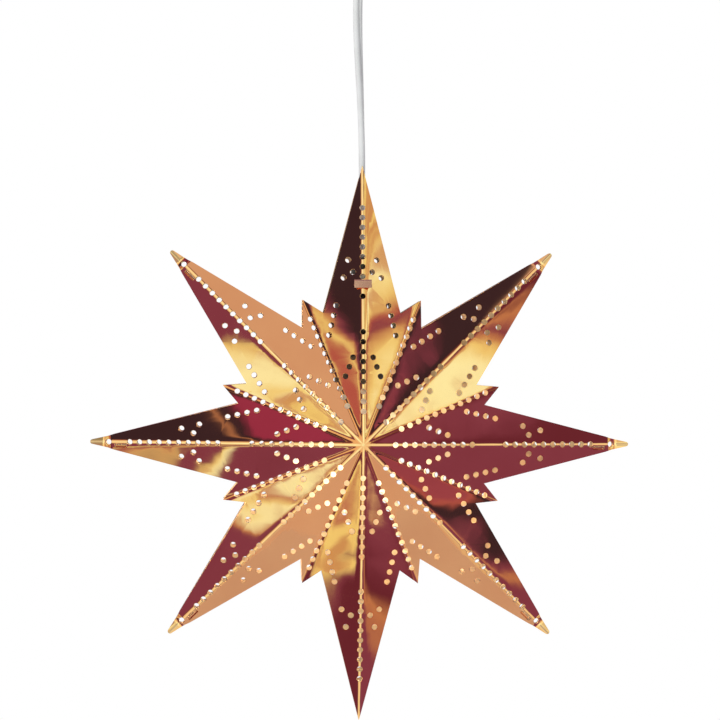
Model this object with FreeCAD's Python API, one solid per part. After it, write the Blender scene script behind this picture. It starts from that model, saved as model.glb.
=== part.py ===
import FreeCAD, Part
import math
import os

# Hanging star lamp: two folded, perforated copper sheets joined at their points,
# a small screw lampholder inside, a flat twin cord and a ceiling cup with a hook.
# Millimetres, +Z up. The origin is on the ceiling, in the middle of the ceiling
# bracket. The star faces -Y.

# ---- Driving dimensions -------------------------------------------------------

HUB_DROP = 300.0            # ceiling down to the middle of the star

POINTS = 8
POINT_REACH = 142.5         # middle of the star to a sharp point
BLUNT_REACH = 138.5         # middle of the star to a rounded side point
NOTCH_ALONG = 66.05         # notch beside a long point, along and across its ridge
NOTCH_ACROSS = 19.95
SPIKE_REACH = 78.7          # middle of the star to a short point
HUB_DEPTH = 38.5            # centre plane to the inside of the sheet at the middle
SHEET = 0.5
SIDE_GAP = 0.2              # half gap between the sheets at the end of a side point
CORD_GAP = 2.75             # half gap at the top and bottom points, open for the cord
VALLEY_SLOPE = 22.4         # degrees, fall of the valley folds

HOLE = 2.8                  # across a perforation
HOLE_SIDES = 4
RIDGE_INNER = (17.4, 5.07, 9)      # first hole from the middle, pitch, count
RIDGE_OUTER = (76.2, 4.98, 10)
VALLEY_ROW = (22.6, 4.91, 11)
EDGE_ROW = (56.0, 17.2, 5.03, -1.23, 4)    # along, across, step along, step across, count
BEND_ROW = (35.7, 9.05, 4.85, -1.92, 3)
TRIO = ((85.5, 9.9), (88.4, 4.95), (94.6, 7.45))

EYELET_REACH = 128.9        # round hole near the end of a side point
EYELET = 3.0
EYELET_SIDES = 6
PRESS_START = 129.0         # side points are pressed flat from here to their end
PRESS_END = 131.5
SHOULDER = 1.3              # from a side point's end back to where its edge is full width
BLUNT_CHAMFER = (0.4, 0.8)
SLOT_NEAR = 119.5
SLOT_FAR = 126.0
SLOT_IN = 0.9               # across, from the ridge to the near and far side of the slot
SLOT_OUT = 2.9
TONGUE = 0.6
TONGUE_PLAY = 0.5
TONGUE_FOOT = 2.5
TONGUE_PROUD = 0.5

STRAP_HEIGHT = 79.9         # underside of the lamp strap above the middle of the star
STRAP = 0.8
STRAP_WIDTH = 10.8
STRAP_FOLD = 3.6            # turned-up end in front of the star
STRAP_EYE = 18.0
STRAP_SLOT_PLAY = 0.3
STRAP_TAIL = 3.0            # the strap's straight end behind the back sheet

NIPPLE = 10.0
NIPPLE_BORE = 6.4
NIPPLE_HEIGHT = 7.0         # above the strap
NIPPLE_DEPTH = 3.0          # down into the holder's cap
NUT_FLATS = 13.0
NUT_HEIGHT = 3.0
GRIP_LENGTH = 8.0           # tapered cord grip on the lampholder
GRIP_LOW = 11.0             # its lower and upper diameter
GRIP_HIGH = 8.0
HOLDER = 27.0
HOLDER_WALL = 1.5
CAP_HEIGHT = 14.0
CAP_WALL = 2.0
CAP_SLOPE = (4.0, 5.0)      # the chamfer round the cap's top, in and down
CAP_ROOF = 7.0              # the solid part of the cap
SKIRT_HEIGHT = 36.0
INSERT_HEIGHT = 6.0
INSERT_PLAY = 0.05
CONTACT = (7.0, 3.0, 0.6)
SLEEVE = 14.1               # bore of the metal thread sleeve
SLEEVE_WALL = 0.4
SLEEVE_HEIGHT = 24.0
BULB_PLAY = 0.3             # between the two centre contacts
BULB_CAP = 13.9
BULB_CAP_HEIGHT = 20.0
BULB_CAP_CHAMFER = 1.5
BULB_NECK_IN = 0.4
BULB_INSULATOR = (6.0, 3.6, 1.8)   # low radius, high radius, height
BULB_CONTACT = (3.2, 2.0, 1.2)
BULB_PROFILE = (            # radius and height of the glass, from the middle of the star
    (7.5, 28.0), (11.6, 19.0), (14.0, 10.0), (13.4, 3.0), (9.6, -3.4), (4.2, -6.0),
)

CORD_THICK = 3.2
CORD_WIDE = 5.2
CORE = 2.0

CUP = 82.0
CUP_WALL = 1.6
CUP_TOP = -4.5              # a gap under the ceiling lets the cup tilt with the cord
CUP_BEND = -30.0
CUP_FLOOR = -54.0
CUP_FLOOR_ROUND = 30.0      # across the flat part of its floor
CUP_SIDE = 0.97             # radius at the bend and at the shoulder, as parts of the rim's
CUP_SHOULDER = 0.78
CUP_SHOULDER_DROP = 16.0
GRIP = 15.0                 # cord grip under the cup
GRIP_BORE = 8.8
GRIP_NECK = 11.0
GRIP_HEIGHT = 9.0
GRIP_NECK_HEIGHT = 6.0
GRIP_NECK_PLAY = 0.1
BRACKET_LENGTH = 66.0
BRACKET_WIDTH = 14.0
BRACKET = 1.2
BRACKET_HOLES = 50.0        # between the two ceiling screws
BRACKET_HOLE = 4.5
HOOK_WIRE = 3.2
HOOK_BEND = 6.0             # to the middle of the wire
HOOK_DROP = 18.0            # ceiling to the middle of the wire in the saddle
HOOK_STRAIGHT = 5.0
HOOK_LIP = 2.0
HOOK_NUT = (7.0, 2.6)       # across flats, height
HANGER = (9.0, 11.0, 14.0)  # clamp on the cord's end
HANGER_LOW = -38.0
HANGER_NECK = 7.0
EYE = 10.0                  # hanger's eye and its bore
EYE_BORE = 4.4
EYE_THICK = 4.0
BLOCK = (17.0, 14.0, 13.0)  # two-pole terminal block
BLOCK_X = 24.0
BLOCK_Z = -30.0
GRIP_SCREW = 3.0
GRIP_SCREW_PLAY = 0.4       # from the cord to the screw's end
GRIP_SCREW_PROUD = 2.0
TAIL_APART = 3.0            # each core from the middle

ROUND_SIDES = 24            # narrow flats round each turned piece
WIRE_SIDES = 8

# ---- Worked-out values --------------------------------------------------------

HUB_Z = -HUB_DROP
STEP = 360.0 / POINTS
HALF = math.radians(STEP / 2)
SHEET_Y = SHEET / math.cos(math.radians(26.2))   # the sheet's thickness along Y
VALLEY_FALL = math.tan(math.radians(VALLEY_SLOPE))
V = FreeCAD.Vector
UP = V(0, 0, 1)
PUNCH_LENGTH = 12.0
TOP_POINT = 0
BOTTOM_POINT = 4


def at_hub(x, y, z):
    return V(x, y, z + HUB_Z)


def closed_solid(faces):
    solid = Part.Solid(Part.Shell(faces))
    if solid.Volume < 0:
        solid.reverse()
    return solid.removeSplitter()


def flat_face(corners):
    return Part.Face(Part.makePolygon(corners + corners[:1]))


def turned(profile, base=HUB_Z):
    """A piece turned on the vertical axis, from closed (radius, height) points."""
    turns = [2 * math.pi * (i + 0.5) / ROUND_SIDES for i in range(ROUND_SIDES)]
    outlines = [[V(r * math.cos(t), r * math.sin(t), z + base) for r, z in profile] for t in turns]
    faces = []
    for i, near in enumerate(outlines):
        far = outlines[i - 1]
        for j in range(len(profile)):
            corners = [near[j - 1], near[j]]
            corners += [far[k] for k in (j, j - 1) if profile[k][0] > 0]
            if len(corners) > 2:
                faces.append(flat_face(corners))
    return closed_solid(faces)


def tube(outer, inner, low, height, base=HUB_Z):
    """A tube on the vertical axis, or a full round piece where inner is nought."""
    high = low + height
    return turned([(inner / 2, low), (outer / 2, low), (outer / 2, high), (inner / 2, high)], base)


# ---- Folded sheets ------------------------------------------------------------
# A point number counts clockwise from the top. Along and across are measured from
# the middle of the star in the picture plane, along and square to the point's ridge.

def is_open(point):
    return point in (TOP_POINT, BOTTOM_POINT)


def fall_rates(point):
    end_gap = CORD_GAP if is_open(point) else SIDE_GAP
    along = (HUB_DEPTH - end_gap) / POINT_REACH
    across = (VALLEY_FALL - along * math.cos(HALF)) / math.sin(HALF)
    return along, across


def depth(point, along, across):
    """Centre plane to the inside of the sheet."""
    fall_along, fall_across = fall_rates(point)
    return HUB_DEPTH - fall_along * along - fall_across * abs(across)


def to_front(point, along, across, out=0.0):
    """A place on the front sheet's inside, or out in front of it."""
    turn = math.radians(STEP * point)
    x = along * math.sin(turn) + across * math.cos(turn)
    z = along * math.cos(turn) - across * math.sin(turn)
    return at_hub(x, -depth(point, along, across) - out, z)


def prism(low, high):
    """A solid between two outlines that lie one before the other along Y."""
    faces = [flat_face(low), flat_face(high)]
    for i in range(len(low)):
        faces.append(flat_face([low[i - 1], low[i], high[i], high[i - 1]]))
    return closed_solid(faces)


def facet(point, side):
    """One flat face between a ridge and a valley, as far as its point's pressed end."""
    spike = (SPIKE_REACH * math.cos(HALF), SPIKE_REACH * math.sin(HALF))
    notch = (NOTCH_ALONG, NOTCH_ACROSS)
    end = [(POINT_REACH, 0)] if is_open(point) else press_line(PRESS_START)
    outline = [(0, 0)] + end + [notch, spike]
    low = [to_front(point, a, c * side, SHEET_Y) for a, c in outline]
    high = [to_front(point, a, c * side) for a, c in outline]
    return prism(low, high)


def edge_across(along):
    return NOTCH_ACROSS * (POINT_REACH - along) / (POINT_REACH - NOTCH_ALONG)


def press_line(along):
    return [(along, 0), (along, edge_across(along))]


def pressed(point, along, across, out=0.0):
    """A place on the flat end of a side point, just clear of the other sheet."""
    place = to_front(point, along, across)
    return V(place.x, -SIDE_GAP - out, place.z)


def pressed_end(point, side):
    """The flat end of a side point and the short slope where its fold dies out."""
    (ridge, _), (_, edge) = press_line(PRESS_START)
    shoulder = BLUNT_REACH - SHOULDER
    corner = (BLUNT_REACH - BLUNT_CHAMFER[0], BLUNT_CHAMFER[1])
    outline = press_line(PRESS_END)[:1] + [(BLUNT_REACH, 0), corner]
    outline += [(shoulder, edge_across(shoulder)), press_line(PRESS_END)[1]]
    low = [pressed(point, a, c * side, SHEET_Y) for a, c in outline]
    high = [pressed(point, a, c * side) for a, c in outline]
    low_fold = [to_front(point, ridge, 0, SHEET_Y), to_front(point, ridge, edge * side, SHEET_Y)]
    high_fold = [to_front(point, ridge, 0), to_front(point, ridge, edge * side)]
    return [
        prism(low, high),
        prism([low_fold[0], low_fold[1], low[0]], [high_fold[0], high_fold[1], high[0]]),
        prism([low_fold[1], low[-1], low[0]], [high_fold[1], high[-1], high[0]]),
    ]


def punch(point, along, across, width, sides):
    """A punch through the front sheet, one corner away from the middle of the star."""
    centre = to_front(point, along, across, PUNCH_LENGTH / 2)
    turn = math.radians(STEP * point) + math.atan2(across, along)
    radius = width / 2 / math.cos(math.pi / sides) ** 0.5
    corners = []
    for i in range(sides):
        angle = 2 * math.pi * i / sides + turn
        corners.append(centre + V(radius * math.sin(angle), 0, radius * math.cos(angle)))
    return flat_face(corners).extrude(V(0, PUNCH_LENGTH, 0))


def ridge_places():
    places = [(RIDGE_INNER[0] + RIDGE_INNER[1] * i, 0) for i in range(RIDGE_INNER[2])]
    places += [(RIDGE_OUTER[0] + RIDGE_OUTER[1] * i, 0) for i in range(RIDGE_OUTER[2])]
    return places


def valley_places():
    first, pitch, count = VALLEY_ROW
    reaches = [first + pitch * i for i in range(count)]
    places = [(r * math.cos(HALF), r * math.sin(HALF)) for r in reaches]
    return places + [(a, -c) for a, c in places]


def face_places():
    places = list(TRIO)
    for along, across, step, shift, count in (EDGE_ROW, BEND_ROW):
        places += [(along + step * i, across + shift * i) for i in range(count)]
    return places + [(a, -c) for a, c in places]


def strap_slot():
    """The slot across the top ridge that the lamp strap goes through."""
    wide = STRAP_WIDTH / 2 + STRAP_SLOT_PLAY
    low = at_hub(-wide, -HUB_DEPTH, STRAP_HEIGHT - STRAP_SLOT_PLAY)
    return Part.makeBox(2 * wide, HUB_DEPTH, STRAP + 2 * STRAP_SLOT_PLAY, low)


def lower_side(point):
    """Which side of a side point's ridge faces down."""
    return 1 if point < BOTTOM_POINT else -1


def tongue_slot(point):
    side = lower_side(point)
    corners = [(SLOT_NEAR, SLOT_IN), (SLOT_FAR, SLOT_IN), (SLOT_FAR, SLOT_OUT), (SLOT_NEAR, SLOT_OUT)]
    low = [to_front(point, a, c * side, 3) for a, c in corners]
    high = [to_front(point, a, c * side, -3) for a, c in corners]
    return prism(low, high)


def holes(point, places):
    slot_row = RIDGE_OUTER[0] + RIDGE_OUTER[1]
    cutters = []
    for along, across in places:
        if point == TOP_POINT and across == 0 and abs(along - slot_row) < 1:
            continue
        cutters.append(punch(point, along, across, HOLE, HOLE_SIDES))
    return cutters


def sheet_point(point, places, slotted):
    """One long point of the front sheet, with the halves of its short neighbours."""
    faces = [facet(point, -1)]
    if not is_open(point):
        faces += pressed_end(point, 1) + pressed_end(point, -1)
    body = facet(point, 1).fuse(faces)
    cutters = holes(point, places)
    if point == TOP_POINT:
        cutters.append(strap_slot())
    if not is_open(point):
        cutters.append(punch(point, EYELET_REACH, 0, EYELET, EYELET_SIDES))
    if slotted and not is_open(point):
        cutters.append(tongue_slot(point))
    return body.cut(cutters)


def sheet(places, slotted):
    points = [sheet_point(i, places, slotted) for i in range(POINTS)]
    return points[0].fuse(points[1:]).removeSplitter()


def front_sheet():
    return sheet(ridge_places() + valley_places() + face_places(), True)


def back_sheet():
    shape = sheet(ridge_places(), False)
    return shape.mirror(V(0, 0, 0), V(0, 1, 0))


def joining_tongue(point):
    """A tongue from the back sheet forward through the front sheet's slot."""
    side = lower_side(point)
    near = SLOT_NEAR + TONGUE_PLAY
    far = SLOT_FAR - TONGUE_PLAY
    inner = (SLOT_IN + SLOT_OUT - TONGUE) / 2
    blade = [(near, inner), (far, inner), (far, inner + TONGUE), (near, inner + TONGUE)]
    foot = [(near, inner), (far, inner), (far, inner + TONGUE_FOOT), (near, inner + TONGUE_FOOT)]
    front = [to_front(point, a, c * side, SHEET_Y + TONGUE_PROUD) for a, c in blade]
    back = [mirrored(to_front(point, a, c * side)) for a, c in blade]
    foot_low = [mirrored(to_front(point, a, c * side, -TONGUE)) for a, c in foot]
    foot_high = [mirrored(to_front(point, a, c * side)) for a, c in foot]
    return prism(front, back).fuse(prism(foot_low, foot_high)).removeSplitter()


def mirrored(place):
    return V(place.x, -place.y, place.z)


def joining_tongues():
    return [joining_tongue(i) for i in range(POINTS) if not is_open(i)]


# ---- Lamp inside the star -----------------------------------------------------

def strap_reach():
    return depth(TOP_POINT, STRAP_HEIGHT, 0) + SHEET_Y


def lamp_strap():
    reach = strap_reach()
    front = -reach - STRAP
    back = reach + STRAP_TAIL
    flat = Part.makeBox(STRAP_WIDTH, back - front, STRAP, at_hub(-STRAP_WIDTH / 2, front, STRAP_HEIGHT))
    eye = tube(STRAP_EYE, 0, STRAP_HEIGHT, STRAP)
    fold = Part.makeBox(STRAP_WIDTH, STRAP, STRAP_FOLD, at_hub(-STRAP_WIDTH / 2, front, STRAP_HEIGHT))
    bore = tube(NIPPLE, 0, STRAP_HEIGHT - 1, STRAP + 2)
    return flat.fuse([eye, fold]).cut(bore).removeSplitter()


def hexagon_nut(flats, height, bore, low):
    radius = flats / math.sqrt(3)
    turns = [math.pi * i / 3 for i in range(6)]
    body = flat_face([V(radius * math.cos(t), radius * math.sin(t), low) for t in turns]).extrude(UP * height)
    return body.cut(tube(bore, 0, low - 1, height + 2, 0))


def holder_nipple():
    height = NIPPLE_DEPTH + NIPPLE_HEIGHT - STRAP
    return tube(NIPPLE, NIPPLE_BORE, STRAP_HEIGHT - NIPPLE_DEPTH, height)


def holder_nut():
    return hexagon_nut(NUT_FLATS, NUT_HEIGHT, NIPPLE, HUB_Z + STRAP_HEIGHT + STRAP)


def holder_cap():
    """The lampholder's closed cap, round the nipple."""
    outer = HOLDER / 2
    inner = outer - CAP_WALL
    bore = NIPPLE / 2
    top = STRAP_HEIGHT
    low = top - CAP_HEIGHT
    roof = top - CAP_ROOF
    slope_in, slope_down = CAP_SLOPE
    outside = [(bore, top), (outer - slope_in, top), (outer, top - slope_down), (outer, low)]
    return turned(outside + [(inner, low), (inner, roof), (bore, roof)])


def skirt_top():
    return STRAP_HEIGHT - CAP_HEIGHT


def holder_skirt():
    """The open skirt round the bulb's cap."""
    return tube(HOLDER, HOLDER - 2 * HOLDER_WALL, skirt_top() - SKIRT_HEIGHT, SKIRT_HEIGHT)


def insert_low():
    return skirt_top() - INSERT_HEIGHT


def holder_insert():
    """The insulating block that carries the sleeve and the contacts."""
    return tube(HOLDER - 2 * HOLDER_WALL - 2 * INSERT_PLAY, 0, insert_low(), INSERT_HEIGHT)


def thread_sleeve():
    return tube(SLEEVE + 2 * SLEEVE_WALL, SLEEVE, insert_low() - SLEEVE_HEIGHT, SLEEVE_HEIGHT)


def centre_contact():
    length, width, thick = CONTACT
    return Part.makeBox(length, width, thick, at_hub(-length / 2, -width / 2, insert_low() - thick))


def bulb_top():
    return insert_low() - CONTACT[2] - BULB_PLAY


def taper(low_radius, high_radius, low, high):
    return turned([(0, low), (low_radius, low), (high_radius, high), (0, high)])


def bulb_contact():
    low_radius, high_radius, height = BULB_CONTACT
    return taper(low_radius, high_radius, bulb_top() - height, bulb_top())


def bulb_insulator():
    low_radius, high_radius, height = BULB_INSULATOR
    high = bulb_top() - BULB_CONTACT[2]
    return taper(low_radius, high_radius, high - height, high)


def bulb_cap_top():
    return bulb_top() - BULB_CONTACT[2] - BULB_INSULATOR[2]


def bulb_cap():
    top = bulb_cap_top()
    low = top - BULB_CAP_HEIGHT
    outer = BULB_CAP / 2
    return turned([(0, top), (BULB_INSULATOR[0], top), (outer, top - BULB_CAP_CHAMFER), (outer, low), (0, low)])


def bulb_glass():
    """Opal pear-shaped glass, closed by the cap at its neck."""
    top = bulb_cap_top() - BULB_CAP_HEIGHT
    neck = BULB_CAP / 2 - BULB_NECK_IN
    low = BULB_PROFILE[-1][1]
    return turned([(0, top), (neck, top)] + list(BULB_PROFILE) + [(0, low)])


def cord_grip():
    """The tapered plastic grip where the cord enters the lampholder."""
    low = STRAP_HEIGHT + NIPPLE_HEIGHT
    return taper(GRIP_LOW / 2, GRIP_HIGH / 2, low, low + GRIP_LENGTH)


# ---- Cord ---------------------------------------------------------------------

def cord_route():
    """From the lampholder's grip up through the top point to the hanger on the hook."""
    return [
        V(0, 0, HUB_Z + STRAP_HEIGHT + NIPPLE_HEIGHT + GRIP_LENGTH),
        V(0, 0, -150.0),
        V(-2.0, 0, -92.0),
        V(0, 0, -60.0),
        V(0, 0, HANGER_LOW),
    ]


def cord_path(route):
    """Straight runs joined by tangent arcs; prints each arc's radius."""
    edges = []
    start = route[0]
    for i in range(1, len(route) - 1):
        before = route[i] - route[i - 1]
        after = route[i + 1] - route[i]
        shorter = min(before.Length, after.Length)
        trim = 0.45 * shorter
        half_turn = before.getAngle(after) / 2
        print("cord bend radius", round(trim / math.tan(half_turn), 1))
        enter = route[i] - before * (trim / before.Length)
        leave = route[i] + after * (trim / after.Length)
        middle = arc_middle(enter, route[i], leave, half_turn)
        edges.append(Part.LineSegment(start, enter).toShape())
        edges.append(Part.Arc(enter, middle, leave).toShape())
        start = leave
    edges.append(Part.LineSegment(start, route[-1]).toShape())
    return Part.Wire(edges)


def arc_middle(enter, corner, leave, half_turn):
    chord_middle = (enter + leave) * 0.5
    outward = corner - chord_middle
    trim = (corner - enter).Length
    radius = trim / math.tan(half_turn)
    rise = radius * (1 - math.cos(half_turn))
    return chord_middle + outward * (rise / outward.Length)


def cord_outline(centre):
    """The twin cord's outline, wide across Y, square to Z."""
    x = CORD_THICK / 2
    y = CORD_WIDE / 2
    half = [V(-x, y * 0.45, 0), V(-x * 0.7, y * 0.85, 0), V(0, y, 0), V(x * 0.7, y * 0.85, 0), V(x, y * 0.45, 0)]
    corners = [centre + p for p in half] + [centre - p for p in half]
    return Part.makePolygon(corners + corners[:1])


def hanging_cord():
    path = cord_path(cord_route())
    section = cord_outline(cord_route()[0])
    solid = path.makePipeShell([section], True, False)
    area = Part.Face(section).Area
    print("cord length", round(path.Length, 1), "volume ratio", round(solid.Volume / area / path.Length, 4))
    return solid


def core_tails():
    """The cord's two insulated cores, from the hanger's side into the terminal block."""
    start = HANGER[0] / 2
    length = BLOCK_X - BLOCK[0] / 2 - start
    cores = []
    for y in (-TAIL_APART, TAIL_APART):
        turns = [2 * math.pi * i / WIRE_SIDES for i in range(WIRE_SIDES)]
        corners = [V(start, y + CORE / 2 * math.cos(t), BLOCK_Z + CORE / 2 * math.sin(t)) for t in turns]
        cores.append(flat_face(corners).extrude(V(length, 0, 0)))
    return cores


# ---- Ceiling fitting ----------------------------------------------------------

def ceiling_bracket():
    half = BRACKET_LENGTH / 2
    plate = Part.makeBox(2 * half, BRACKET_WIDTH, BRACKET, V(-half, -BRACKET_WIDTH / 2, -BRACKET))
    rounded = plate.makeFillet(BRACKET_WIDTH / 2 - 2, [e for e in plate.Edges if abs(e.Length - BRACKET) < 0.01])
    cutters = [Part.makeCylinder(HOOK_WIRE / 2, 4, V(0, 0, -2))]
    for side in (-1, 1):
        cutters.append(Part.makeCylinder(BRACKET_HOLE / 2, 4, V(side * BRACKET_HOLES / 2, 0, -2)))
    return rounded.cut(cutters)


def hook_line():
    """Places on the hook's wire, as (x, z, how far its direction has turned from straight down)."""
    bend = HOOK_BEND
    low = HOOK_BEND - HOOK_DROP
    drop = -HOOK_STRAIGHT - low
    sweep = 2 * math.atan2(bend, drop)
    radius = drop / 2 / math.sin(sweep)
    line = [(0, 0, 0)]
    for i in range(4):
        turn = sweep * i / 4
        line.append((radius * math.cos(turn) - radius, -HOOK_STRAIGHT - radius * math.sin(turn), turn))
    for i in range(5):
        turn = sweep * (4 - i) / 4
        line.append((radius - bend - radius * math.cos(turn), low + radius * math.sin(turn), turn))
    for i in range(1, 9):
        turn = math.pi * i / 8
        line.append((-bend * math.cos(turn), low - bend * math.sin(turn), -turn))
    return line + [(bend, low + HOOK_LIP, -math.pi)]


def wire_outline(x, z, turn):
    corners = []
    for i in range(WIRE_SIDES):
        angle = 2 * math.pi * (i + 0.5) / WIRE_SIDES
        side = HOOK_WIRE / 2 * math.cos(angle)
        place = V(x + side * math.cos(turn), HOOK_WIRE / 2 * math.sin(angle), z - side * math.sin(turn))
        corners.append(place)
    return corners


def ceiling_hook():
    """Question-mark hook of round wire, its saddle under the bracket's middle."""
    outlines = [wire_outline(*place) for place in hook_line()]
    faces = [flat_face(outlines[0]), flat_face(outlines[-1])]
    for near, far in zip(outlines, outlines[1:]):
        for i in range(WIRE_SIDES):
            faces.append(flat_face([near[i - 1], near[i], far[i], far[i - 1]]))
    return closed_solid(faces)


def hook_nut():
    flats, height = HOOK_NUT
    return hexagon_nut(flats, height, HOOK_WIRE, -BRACKET - height)


def ceiling_cup():
    """A thin bowl, open to the ceiling, with a hole in its floor for the grip's neck."""
    rim = CUP / 2
    shoulder = CUP_BEND - CUP_SHOULDER_DROP
    outer = [(rim, CUP_TOP), (rim * CUP_SIDE, CUP_BEND), (rim * CUP_SHOULDER, shoulder)]
    outer.append((CUP_FLOOR_ROUND / 2, CUP_FLOOR))
    upright = [(r - CUP_WALL, z) for r, z in outer[:2]]
    sloping = [(r - CUP_WALL / 2, z + CUP_WALL) for r, z in outer[2:]]
    hole = GRIP_NECK / 2
    floor = [(hole, CUP_FLOOR), (hole, CUP_FLOOR + CUP_WALL)]
    return turned(outer + floor + sloping[::-1] + upright[::-1], 0)


def cup_grip():
    """The cord grip: a threaded neck up through the cup's floor and a ring under it."""
    low = CUP_FLOOR - GRIP_HEIGHT
    bore = GRIP_BORE / 2
    neck = GRIP_NECK / 2 - GRIP_NECK_PLAY
    top = CUP_FLOOR + GRIP_NECK_HEIGHT
    ring = [(bore, low), (GRIP / 2, low), (GRIP / 2, CUP_FLOOR), (neck, CUP_FLOOR)]
    body = turned(ring + [(neck, top), (bore, top)], 0)
    screw_hole = Part.makeCylinder(GRIP_SCREW / 2, GRIP, V(0, 0, low + GRIP_HEIGHT / 2), V(0, -1, 0))
    return body.cut(screw_hole)


def grip_screw():
    """Clamps the cord in the grip; turned out, it lets the cup slide down the cord."""
    start = CORD_WIDE / 2 + GRIP_SCREW_PLAY
    length = GRIP / 2 - start + GRIP_SCREW_PROUD
    return Part.makeCylinder(GRIP_SCREW / 2, length, V(0, -start, CUP_FLOOR - GRIP_HEIGHT / 2), V(0, -1, 0))


def cord_hanger():
    """A clamp on the cord's end with an eye that hangs in the hook."""
    wide, deep, high = HANGER
    top = HANGER_LOW + high
    block = Part.makeBox(wide, deep, high, V(-wide / 2, -deep / 2, HANGER_LOW))
    neck = Part.makeBox(EYE_THICK, HANGER_NECK, -HOOK_DROP - top, V(-EYE_THICK / 2, -HANGER_NECK / 2, top))
    eye = Part.makeCylinder(EYE / 2, EYE_THICK, V(-EYE_THICK / 2, 0, -HOOK_DROP), V(1, 0, 0))
    bore = Part.makeCylinder(EYE_BORE / 2, EYE_THICK + 2, V(-EYE_THICK / 2 - 1, 0, -HOOK_DROP), V(1, 0, 0))
    return block.fuse([neck, eye]).cut(bore).removeSplitter()


def terminal_block():
    low = V(BLOCK_X - BLOCK[0] / 2, -BLOCK[1] / 2, BLOCK_Z - BLOCK[2] / 2)
    return Part.makeBox(BLOCK[0], BLOCK[1], BLOCK[2], low)


# ---- Files --------------------------------------------------------------------

PIECES = {
    "front_star_sheet": front_sheet,
    "back_star_sheet": back_sheet,
    "joining_tongues": joining_tongues,
    "lamp_strap": lamp_strap,
    "holder_nipple": holder_nipple,
    "holder_nut": holder_nut,
    "holder_cap": holder_cap,
    "holder_skirt": holder_skirt,
    "holder_insert": holder_insert,
    "thread_sleeve": thread_sleeve,
    "centre_contact": centre_contact,
    "cord_grip": cord_grip,
    "bulb_glass": bulb_glass,
    "bulb_cap": bulb_cap,
    "bulb_insulator": bulb_insulator,
    "bulb_contact": bulb_contact,
    "hanging_cord": hanging_cord,
    "core_tails": core_tails,
    "cord_hanger": cord_hanger,
    "terminal_block": terminal_block,
    "ceiling_hook": ceiling_hook,
    "hook_nut": hook_nut,
    "ceiling_bracket": ceiling_bracket,
    "ceiling_cup": ceiling_cup,
    "cup_grip": cup_grip,
    "grip_screw": grip_screw,
}

os.makedirs("parts", exist_ok=True)
for name, make in PIECES.items():
    made = make()
    shape = Part.Compound(made) if isinstance(made, list) else made
    assert shape.isValid(), name
    print(name, len(shape.Solids), "solids", round(shape.Volume), "mm3")
    shape.exportStep("parts/" + name + ".step")
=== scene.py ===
import math

import bmesh
import bpy
from mathutils import Matrix, Vector, noise


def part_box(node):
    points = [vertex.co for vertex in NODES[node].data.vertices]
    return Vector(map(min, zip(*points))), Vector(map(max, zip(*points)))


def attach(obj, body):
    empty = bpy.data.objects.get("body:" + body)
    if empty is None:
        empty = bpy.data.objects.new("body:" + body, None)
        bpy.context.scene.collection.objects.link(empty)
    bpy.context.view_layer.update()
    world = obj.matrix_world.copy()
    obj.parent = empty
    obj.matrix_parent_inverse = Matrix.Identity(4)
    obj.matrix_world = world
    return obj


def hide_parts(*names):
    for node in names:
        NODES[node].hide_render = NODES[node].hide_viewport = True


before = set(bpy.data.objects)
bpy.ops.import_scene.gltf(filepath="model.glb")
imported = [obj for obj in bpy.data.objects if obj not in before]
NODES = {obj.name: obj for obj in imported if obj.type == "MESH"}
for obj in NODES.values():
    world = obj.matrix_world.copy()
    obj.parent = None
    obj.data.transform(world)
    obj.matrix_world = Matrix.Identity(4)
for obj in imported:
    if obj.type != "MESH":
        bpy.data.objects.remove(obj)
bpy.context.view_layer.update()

MM = 0.001

# ---- Camera -------------------------------------------------------------------
# The photograph is taken level, a little left of the star's middle, from about
# 1.4 m. Its frame is 371 mm wide at the star and ends just under the lowest point.

HUB = Vector((0, 0, -0.300))
CAMERA_AWAY = 1.4
CAMERA_LEFT = math.radians(2.6)
CAMERA_ROLL = math.radians(0.36)
FRAME_WIDTH = 0.3706
SENSOR_WIDTH = 36
FRAME_MIDDLE = HUB + Vector((-0.0004, 0, 0.0426))

lens = bpy.data.cameras.new("photo_camera")
lens.sensor_width = SENSOR_WIDTH
lens.lens = SENSOR_WIDTH * CAMERA_AWAY / FRAME_WIDTH
camera = bpy.data.objects.new("photo_camera", lens)
bpy.context.collection.objects.link(camera)
camera_back = Vector((-math.sin(CAMERA_LEFT), -math.cos(CAMERA_LEFT), 0))
camera.location = FRAME_MIDDLE + camera_back * CAMERA_AWAY
camera.rotation_mode = "QUATERNION"
camera_roll = Matrix.Rotation(CAMERA_ROLL, 4, "Z").to_quaternion()
camera.rotation_quaternion = (-camera_back).to_track_quat("-Z", "Y") @ camera_roll
bpy.context.scene.camera = camera

# ---- Hanging cord -------------------------------------------------------------
# A flat twin cord in soft white PVC: two round cores moulded side by side with a
# groove between them. It is clamped in the lampholder's grip and in the hanger
# above, and turns a quarter on its way, as a cord off a roll does.

CORD_ROUTE = [
    (0, 0, -0.2051), (0, 0, -0.176), (0, 0, -0.143), (-0.0036, 0, -0.072),
    (0, 0, -0.048), (0, 0, -0.038),
]
CORD_THICK = 0.0032
CORE_APART = 0.0010
CORD_TURN = math.radians(62)
TURN_FROM = -0.150
TURN_OVER = 0.085


def link(tree, source, target):
    tree.links.new(source, target)


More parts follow.
